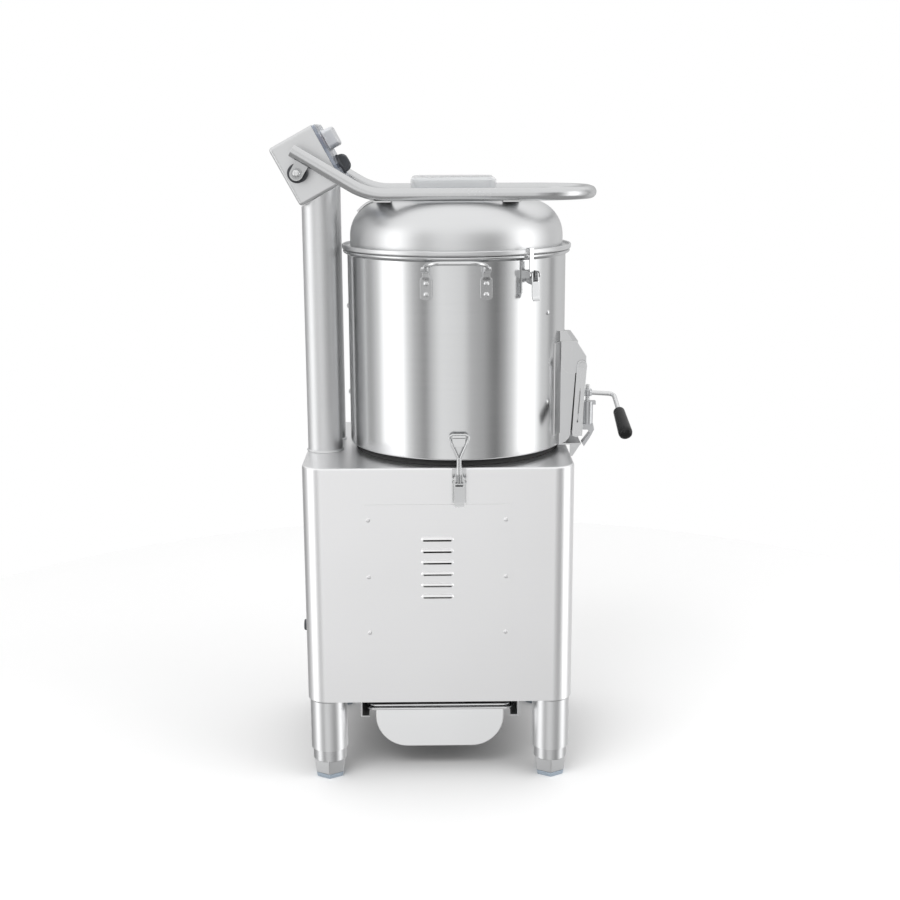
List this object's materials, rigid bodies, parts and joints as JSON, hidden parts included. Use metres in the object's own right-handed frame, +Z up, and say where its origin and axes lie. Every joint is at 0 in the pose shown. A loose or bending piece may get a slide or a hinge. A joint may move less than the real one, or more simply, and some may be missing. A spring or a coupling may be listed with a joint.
{
  "type": "electric potato peeler",
  "caption": "Floor-standing electric potato peeler: a lidded abrasive drum on a sheet steel cabinet, with belt drive, discharge door, waste tray and tilted controls.",
  "frame": {"origin": "centre of the overall footprint, on the floor under the feet", "axes": "+Z up; +X from the posts at the back to the discharge door; the access panel and the waste tray face -Y"},
  "size_m": [0.5062, 0.3944, 0.9247],
  "materials": {
    "brushed_steel": "brushed stainless sheet",
    "satin_steel": "satin stainless sheet",
    "polished_steel": "polished stainless tube and wire",
    "cast_metal": "cast, machined where it runs",
    "black_rubber": "matt",
    "black_plastic": "moulded, half matt",
    "white_plastic": "moulded, translucent white",
    "clear_plastic": "clear moulded",
    "abrasive": "bonded grit",
    "motor_paint": "enamel",
    "green_plastic": "moulded",
    "red_plastic": "moulded"
  },
  "bodies": {
    "frame": {"bottom_frame": "brushed_steel", "leg_1": "brushed_steel", "leg_2": "brushed_steel", "leg_3": "brushed_steel", "leg_4": "brushed_steel", "drum_shell": "brushed_steel", "motor_bracket": "brushed_steel", "post_near": "brushed_steel", "post_far": "brushed_steel", "chute_duct": "brushed_steel", "cabinet_shell": "satin_steel", "access_panel": "satin_steel", "control_box": "satin_steel", "control_fascia": "satin_steel", "drum_handle_near": "satin_steel", "drum_handle_far": "satin_steel", "draw_latch_base_near": "satin_steel", "draw_latch_base_far": "satin_steel", "lid_latch_base": "satin_steel", "bearing_housing": "cast_metal", "drum_gasket": "black_rubber", "drive_belt": "black_rubber", "cable_gland": "black_plastic", "switch_block": "black_plastic", "hinge_bush_near": "black_plastic", "hinge_bush_far": "black_plastic", "drain_pipe": "black_plastic", "timer_body": "white_plastic", "switch_boot": "white_plastic", "clear_cover": "clear_plastic", "abrasive_liner": "abrasive", "motor": "motor_paint"},
    "lid": {"lid_dome": "brushed_steel", "lid_window": "clear_plastic", "lid_hoop": "polished_steel"},
    "door": {"door_pan": "brushed_steel", "door_gasket": "black_rubber", "door_arm_near": "brushed_steel", "door_arm_far": "brushed_steel", "clamp_bracket": "cast_metal"},
    "door_lever": {"clamp_lever": "polished_steel", "lever_grip": "black_plastic"},
    "disc": {"abrasive_disc": "abrasive", "disc_spindle": "brushed_steel", "driven_pulley": "cast_metal"},
    "rotor": {"motor_pulley": "cast_metal"},
    "tray": {"waste_tray": "satin_steel"},
    "knob": {"timer_knob": "black_plastic"},
    "start": {"start_button": "green_plastic"},
    "stop": {"stop_button": "red_plastic"},
    "near_latch": {"draw_latch_lever_near": "satin_steel"},
    "near_bail": {"draw_latch_bail_near": "polished_steel"},
    "far_latch": {"draw_latch_lever_far": "satin_steel"},
    "far_bail": {"draw_latch_bail_far": "polished_steel"},
    "lid_latch": {"lid_latch_lever": "satin_steel"},
    "lid_hook": {"lid_latch_hook": "satin_steel"},
    "foot_1": {"levelling_foot_1": "satin_steel"},
    "foot_2": {"levelling_foot_2": "satin_steel"},
    "foot_3": {"levelling_foot_3": "satin_steel"},
    "foot_4": {"levelling_foot_4": "satin_steel"}
  },
  "joints": [
    {"name": "lid_lift", "type": "hinge", "parent": "frame", "child": "lid", "pos_m": [-0.21206, 0, 0.86], "axis": [0, -1, 0], "range_deg": [0, 72]},
    {"name": "door_swing", "type": "hinge", "parent": "frame", "child": "door", "pos_m": [0.18194, 0, 0.59], "axis": [0, -1, 0], "range_deg": [0, 80]},
    {"name": "lever_turn", "type": "hinge", "parent": "door", "child": "door_lever", "pos_m": [0.19741, 0, 0.527], "axis": [0, 0, 1], "range_deg": [0, 90]},
    {"name": "disc_turn", "type": "hinge", "parent": "frame", "child": "disc", "pos_m": [0.00474, 0, 0.5], "axis": [0, 0, 1], "continuous": true},
    {"name": "rotor_turn", "type": "hinge", "parent": "frame", "child": "rotor", "pos_m": [-0.11726, 0, 0.302], "axis": [0, 0, 1], "continuous": true},
    {"name": "tray_slide", "type": "slide", "parent": "frame", "child": "tray", "axis": [0, -1, 0], "range_m": [0, 0.25]},
    {"name": "knob_turn", "type": "hinge", "parent": "frame", "child": "knob", "pos_m": [-0.16012, 0, 0.86916], "axis": [0.8788, 0, 0.4772], "range_deg": [0, 300]},
    {"name": "start_press", "type": "slide", "parent": "frame", "child": "start", "axis": [-0.8788, 0, -0.4772], "range_m": [0, 0.004], "stiffness_N_per_m": 900},
    {"name": "stop_press", "type": "slide", "parent": "frame", "child": "stop", "axis": [-0.8788, 0, -0.4772], "range_m": [0, 0.004], "stiffness_N_per_m": 900},
    {"name": "near_latch_turn", "type": "hinge", "parent": "frame", "child": "near_latch", "pos_m": [0.00474, -0.1725, 0.451], "axis": [-1, 0, 0], "range_deg": [0, 95]},
    {"name": "near_bail_turn", "type": "hinge", "parent": "near_latch", "child": "near_bail", "pos_m": [0.00474, -0.1682, 0.443], "axis": [-1, 0, 0], "range_deg": [-84, 0]},
    {"name": "far_latch_turn", "type": "hinge", "parent": "frame", "child": "far_latch", "pos_m": [0.00474, 0.1725, 0.451], "axis": [1, 0, 0], "range_deg": [0, 95]},
    {"name": "far_bail_turn", "type": "hinge", "parent": "far_latch", "child": "far_bail", "pos_m": [0.00474, 0.1682, 0.443], "axis": [1, 0, 0], "range_deg": [-84, 0]},
    {"name": "lid_latch_turn", "type": "hinge", "parent": "frame", "child": "lid_latch", "pos_m": [0.10608, -0.13897, 0.726], "axis": [-0.808, -0.5892, 0], "range_deg": [0, 95]},
    {"name": "lid_hook_turn", "type": "hinge", "parent": "lid_latch", "child": "lid_hook", "pos_m": [0.10355, -0.1355, 0.718], "axis": [-0.808, -0.5892, 0], "range_deg": [-85.5, 0]},
    {"name": "foot_1_screw", "type": "slide", "parent": "frame", "child": "foot_1", "axis": [0, 0, -1], "range_m": [0, 0.01]},
    {"name": "foot_2_screw", "type": "slide", "parent": "frame", "child": "foot_2", "axis": [0, 0, -1], "range_m": [0, 0.01]},
    {"name": "foot_3_screw", "type": "slide", "parent": "frame", "child": "foot_3", "axis": [0, 0, -1], "range_m": [0, 0.01]},
    {"name": "foot_4_screw", "type": "slide", "parent": "frame", "child": "foot_4", "axis": [0, 0, -1], "range_m": [0, 0.01]}
  ],
  "couplings": [
    {"joint": "rotor_turn", "follows": "disc_turn", "ratio": 3.3158},
    {"joint": "near_bail_turn", "follows": "near_latch_turn", "ratio": -0.88},
    {"joint": "far_bail_turn", "follows": "far_latch_turn", "ratio": -0.88},
    {"joint": "lid_hook_turn", "follows": "lid_latch_turn", "ratio": -0.9}
  ]
}
